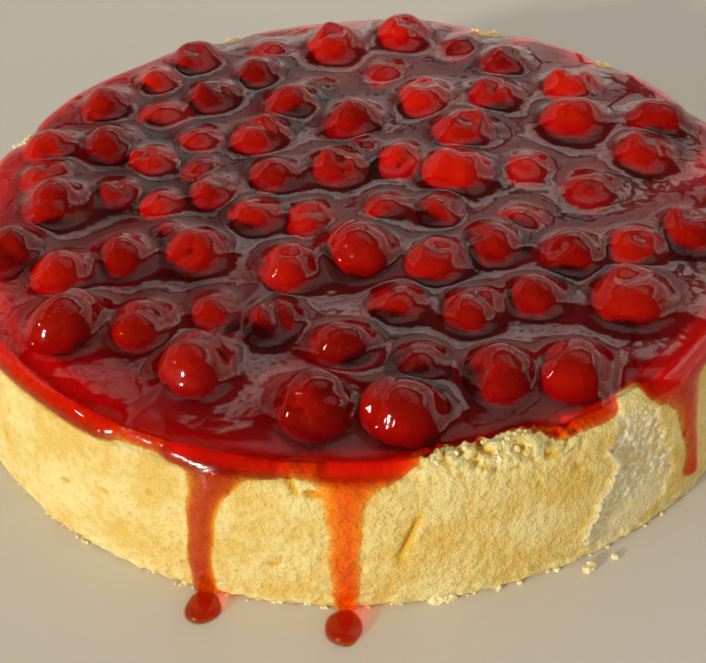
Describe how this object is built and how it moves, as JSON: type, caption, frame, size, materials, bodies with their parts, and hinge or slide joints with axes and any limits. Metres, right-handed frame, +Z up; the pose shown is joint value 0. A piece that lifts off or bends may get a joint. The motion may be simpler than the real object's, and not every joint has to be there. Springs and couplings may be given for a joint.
{
  "type": "baked cheesecake with cherries",
  "caption": "Round baked cheesecake in a pale crust, its well filled with red jelly and whole cherries, with drips down the side.",
  "frame": {"origin": "middle of the flat base, on the surface that the cake stands on", "axes": "+Z up through the topping, -Y towards the front with its two long drips, +X to the right seen from the front"},
  "size_m": [0.1998, 0.2089, 0.0452],
  "materials": {
    "crust": "dry, finely crumbed baked crust, pale yellow",
    "jelly": "clear wet red jelly, orange where thin",
    "cherry": "wet cooked cherry skin, bright red"
  },
  "bodies": {
    "root": {"cake": "crust", "cherry_01": "cherry", "cherry_02": "cherry", "cherry_03": "cherry", "cherry_04": "cherry", "cherry_05": "cherry", "cherry_06": "cherry", "cherry_07": "cherry", "cherry_08": "cherry", "cherry_09": "cherry", "cherry_10": "cherry", "cherry_11": "cherry", "cherry_12": "cherry", "cherry_13": "cherry", "cherry_14": "cherry", "cherry_15": "cherry", "cherry_16": "cherry", "cherry_17": "cherry", "cherry_18": "cherry", "cherry_19": "cherry", "cherry_20": "cherry", "cherry_21": "cherry", "cherry_22": "cherry", "cherry_23": "cherry", "cherry_24": "cherry", "cherry_25": "cherry", "cherry_26": "cherry", "cherry_27": "cherry", "cherry_28": "cherry", "cherry_29": "cherry", "cherry_30": "cherry", "cherry_31": "cherry", "cherry_32": "cherry", "cherry_33": "cherry", "cherry_34": "cherry", "cherry_35": "cherry", "cherry_36": "cherry", "cherry_37": "cherry", "cherry_38": "cherry", "cherry_39": "cherry", "cherry_40": "cherry", "cherry_41": "cherry", "cherry_42": "cherry", "cherry_43": "cherry", "cherry_44": "cherry", "cherry_45": "cherry", "cherry_46": "cherry", "cherry_47": "cherry", "cherry_48": "cherry", "cherry_49": "cherry", "cherry_50": "cherry", "cherry_51": "cherry", "cherry_52": "cherry", "cherry_53": "cherry", "cherry_54": "cherry", "cherry_55": "cherry", "cherry_56": "cherry", "cherry_57": "cherry", "cherry_jelly": "jelly"}
  },
  "joints": []
}
